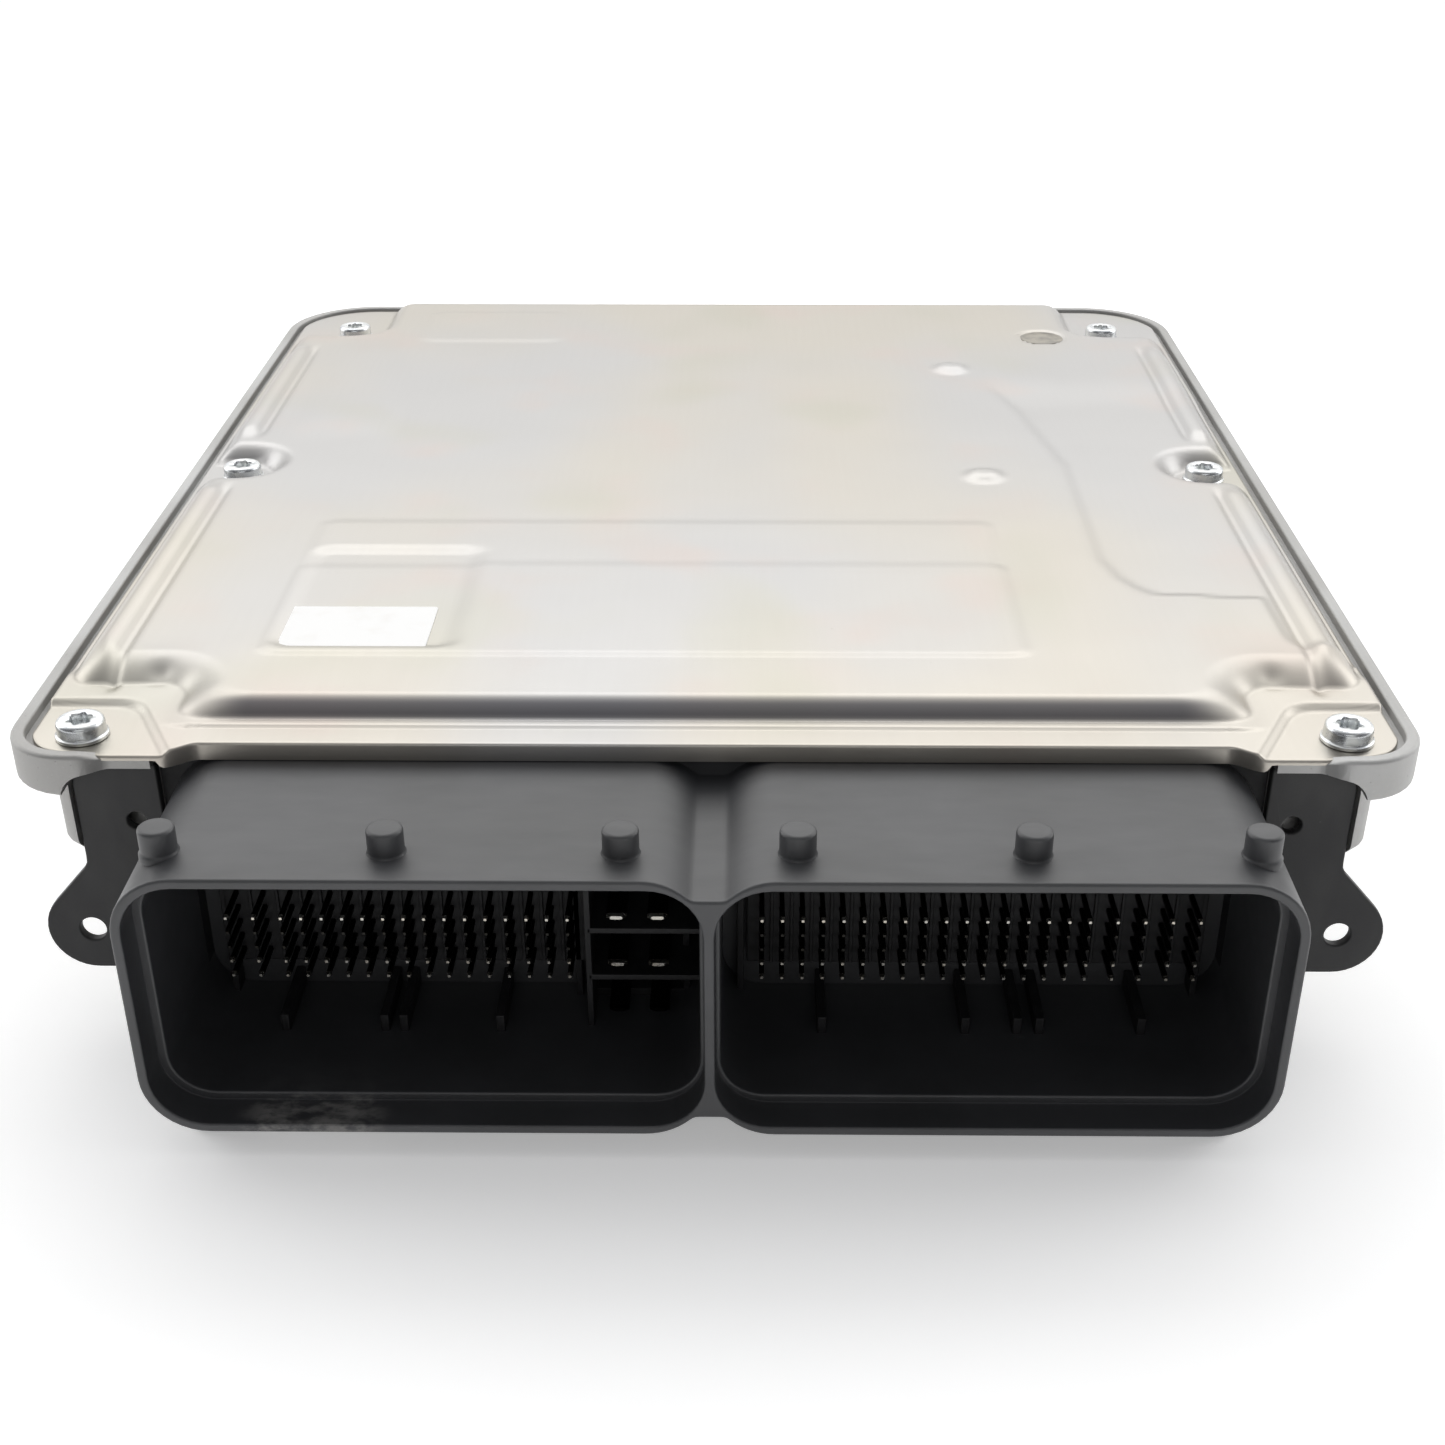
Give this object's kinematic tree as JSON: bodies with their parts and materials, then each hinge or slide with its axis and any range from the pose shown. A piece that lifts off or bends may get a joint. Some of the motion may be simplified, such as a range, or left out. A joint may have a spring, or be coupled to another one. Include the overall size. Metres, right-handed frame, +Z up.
{
  "type": "engine control unit",
  "caption": "Flat cast housing with a pressed sheet cover, a two-chamber pin header on one edge, an eared mounting plate and a circuit board inside.",
  "frame": {"origin": "middle of the bottom of the whole box, on the surface that the base rests on", "axes": "+X across the connector, +Y from the connector towards the closed end, +Z up through the cover"},
  "size_m": [0.181, 0.227, 0.0461],
  "materials": {
    "cast_aluminium": "matte as-cast",
    "cover_sheet": "rolled sheet, satin",
    "seal_rubber": "matte",
    "zinc_steel": "bright zinc",
    "header_plastic": "satin moulded",
    "black_steel": "matte black coat",
    "tinned_contact": "tinned",
    "board_laminate": "solder mask",
    "thermal_pad": "soft matte",
    "chip_package": "moulded epoxy",
    "capacitor_sleeve": "shrink sleeve",
    "ferrite": "sintered",
    "ceramic": "fired ceramic",
    "vent_membrane": "porous film",
    "label_film": "blank polyester label"
  },
  "bodies": {
    "root": {"tray": "cast_aluminium", "cover": "cover_sheet", "cover_seal": "seal_rubber", "cover_screws": "zinc_steel", "header": "header_plastic", "header_seal": "seal_rubber", "eared_plate": "black_steel", "plate_screws": "zinc_steel", "signal_pins_left": "tinned_contact", "signal_pins_right": "tinned_contact", "power_blades": "tinned_contact", "pin_comb_left": "header_plastic", "pin_comb_right": "header_plastic", "circuit_board": "board_laminate", "board_screws": "zinc_steel", "thermal_pads": "thermal_pad", "microcontroller": "chip_package", "flash_memory": "chip_package", "power_supply_chip": "chip_package", "driver_chips": "chip_package", "power_transistors": "chip_package", "storage_capacitors": "capacitor_sleeve", "boost_coil": "ferrite", "filter_chokes": "ferrite", "ceramic_capacitors": "ceramic", "chip_resistors": "chip_package", "shunt_resistors": "chip_package", "diodes": "chip_package", "quartz_crystal": "tinned_contact", "pressure_sensor": "ceramic", "vent_membrane": "vent_membrane", "label": "label_film"}
  },
  "joints": []
}
